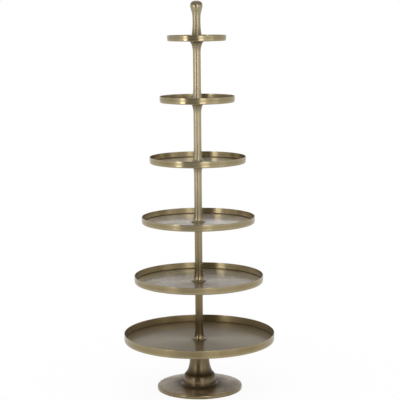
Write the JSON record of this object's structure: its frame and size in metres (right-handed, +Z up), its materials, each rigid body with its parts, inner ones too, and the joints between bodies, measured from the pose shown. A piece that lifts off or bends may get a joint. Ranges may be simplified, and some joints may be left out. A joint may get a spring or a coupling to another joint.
{
  "type": "round tiered etagere",
  "caption": "Tall round etagere: rimmed trays growing downwards, clamped between flared tube columns on one axis, with a knobbed finial above and a cast disc foot below.",
  "frame": {"origin": "on the floor under the central axis, at the underside of the floor pads", "axes": "+Z up along the central axis, through the foot, the columns and the finial; +X to the right and -Y towards the picture's viewer"},
  "size_m": [0.7499, 0.75, 1.925],
  "materials": {
    "tray_bronze": "antique bronze plating, brushed in rings",
    "column_bronze": "antique bronze plating, polished along its length, dark edges",
    "finial_bronze": "antique bronze plating, polished",
    "foot_bronze": "dark antique bronze plating, brushed in rings",
    "zinc_steel": "zinc plated",
    "pad_rubber": "matt black"
  },
  "bodies": {
    "root": {"foot": "foot_bronze", "foot_bolt": "zinc_steel", "foot_washer": "zinc_steel", "finial": "finial_bronze", "finial_insert": "zinc_steel", "floor_pad_1": "pad_rubber", "floor_pad_2": "pad_rubber", "floor_pad_3": "pad_rubber", "floor_pad_4": "pad_rubber", "tray_1": "tray_bronze", "tray_2": "tray_bronze", "tray_3": "tray_bronze", "tray_4": "tray_bronze", "tray_5": "tray_bronze", "tray_6": "tray_bronze", "column_1": "column_bronze", "column_2": "column_bronze", "column_3": "column_bronze", "column_4": "column_bronze", "column_5": "column_bronze", "lower_insert_1": "zinc_steel", "lower_insert_2": "zinc_steel", "lower_insert_3": "zinc_steel", "lower_insert_4": "zinc_steel", "lower_insert_5": "zinc_steel", "upper_insert_1": "zinc_steel", "upper_insert_2": "zinc_steel", "upper_insert_3": "zinc_steel", "upper_insert_4": "zinc_steel", "upper_insert_5": "zinc_steel", "stud_1": "zinc_steel", "stud_2": "zinc_steel", "stud_3": "zinc_steel", "stud_4": "zinc_steel", "stud_5": "zinc_steel"}
  },
  "joints": []
}
